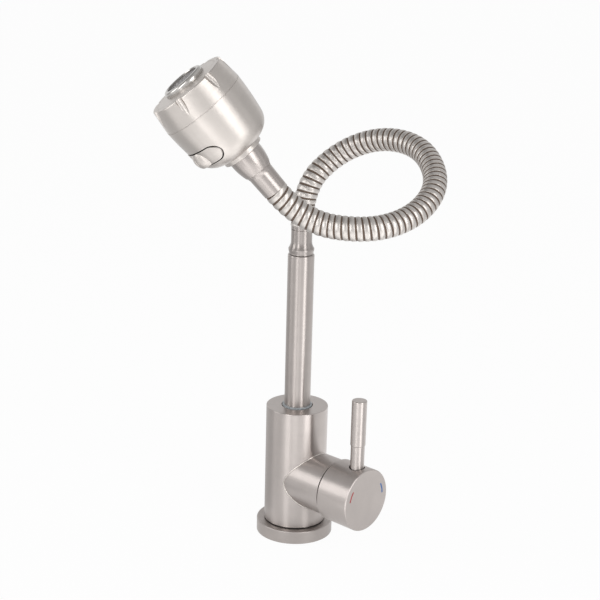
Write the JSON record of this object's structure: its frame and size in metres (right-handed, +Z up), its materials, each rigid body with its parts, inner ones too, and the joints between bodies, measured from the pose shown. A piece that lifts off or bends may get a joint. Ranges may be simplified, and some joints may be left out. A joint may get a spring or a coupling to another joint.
{
  "type": "flexible kitchen faucet",
  "caption": "Single-lever kitchen mixer faucet with a slim swivel riser, a ribbed bendable gooseneck hose in a loop, and a bell-shaped spray head with a mode switch.",
  "frame": {"origin": "centre of the deck face, on the riser's axis", "axes": "+Z up along the riser, +X along the valve housing towards the handle, -Y towards the user"},
  "size_m": [0.1494, 0.1931, 0.3606],
  "materials": {
    "brushed_steel": "fine brushed stainless steel",
    "satin_steel": "smooth satin steel",
    "hose_steel": "strip-wound steel with dark grooves",
    "plain_steel": "plain turned steel",
    "bright_chrome": "polished",
    "brass": "turned brass",
    "white_plastic": "plain nylon",
    "grey_plastic": "plain moulded",
    "black_rubber": "moulded seal",
    "red_enamel": "filled mark",
    "blue_enamel": "filled mark"
  },
  "bodies": {
    "base": {"base_flange": "brushed_steel", "deck_gasket": "black_rubber", "body_seal": "black_rubber", "base_insert": "brass", "faucet_body": "brushed_steel", "valve_housing": "brushed_steel", "cartridge_body": "grey_plastic", "cartridge_nut": "brass", "spout_bearing": "white_plastic", "spout_screw": "plain_steel"},
    "spout": {"riser_tube": "brushed_steel", "spout_spigot": "brass", "spigot_ring_low": "black_rubber", "spigot_ring_high": "black_rubber", "collar_nut": "brushed_steel", "hose_crimp": "brushed_steel", "hose_loop": "hose_steel", "hose_end": "hose_steel"},
    "spray_head": {"hose_ferrule": "satin_steel", "head_band": "satin_steel", "dome_shell": "satin_steel", "switch_pin": "plain_steel", "diverter_block": "grey_plastic", "bezel_ring": "satin_steel", "face_plate": "satin_steel", "spray_nozzle": "bright_chrome", "aerator_insert": "grey_plastic"},
    "switch": {"switch_paddle": "satin_steel"},
    "temperature": {"cartridge_rotor": "grey_plastic", "stem_pin": "plain_steel"},
    "handle": {"handle_cap": "brushed_steel", "lever_pin": "brushed_steel", "lever_grip": "brushed_steel", "cap_screw": "plain_steel", "mark_red": "red_enamel", "mark_blue": "blue_enamel", "cartridge_stem": "brass"}
  },
  "joints": [
    {"name": "spout_swivel", "type": "hinge", "parent": "base", "child": "spout", "pos_m": [0, 0, 0.0985], "axis": [0, 0, 1], "continuous": true},
    {"name": "head_bend", "type": "hinge", "parent": "spout", "child": "spray_head", "pos_m": [0.06068, -0.07627, 0.26608], "axis": [-0.7925, 0.6099, 0], "range_deg": [-25, 20], "deforming": ["hose_end"]},
    {"name": "switch_rock", "type": "hinge", "parent": "spray_head", "child": "switch", "pos_m": [0.03512, -0.12576, 0.30254], "axis": [-0.3957, -0.5142, 0.761], "range_deg": [-5, 5]},
    {"name": "temperature_turn", "type": "hinge", "parent": "base", "child": "temperature", "pos_m": [0.03, 0, 0.0447], "axis": [1, 0, 0], "range_deg": [-45, 45]},
    {"name": "flow_tilt", "type": "hinge", "parent": "temperature", "child": "handle", "pos_m": [0.032, 0, 0.0447], "axis": [0, 1, 0], "range_deg": [0, 20]}
  ]
}
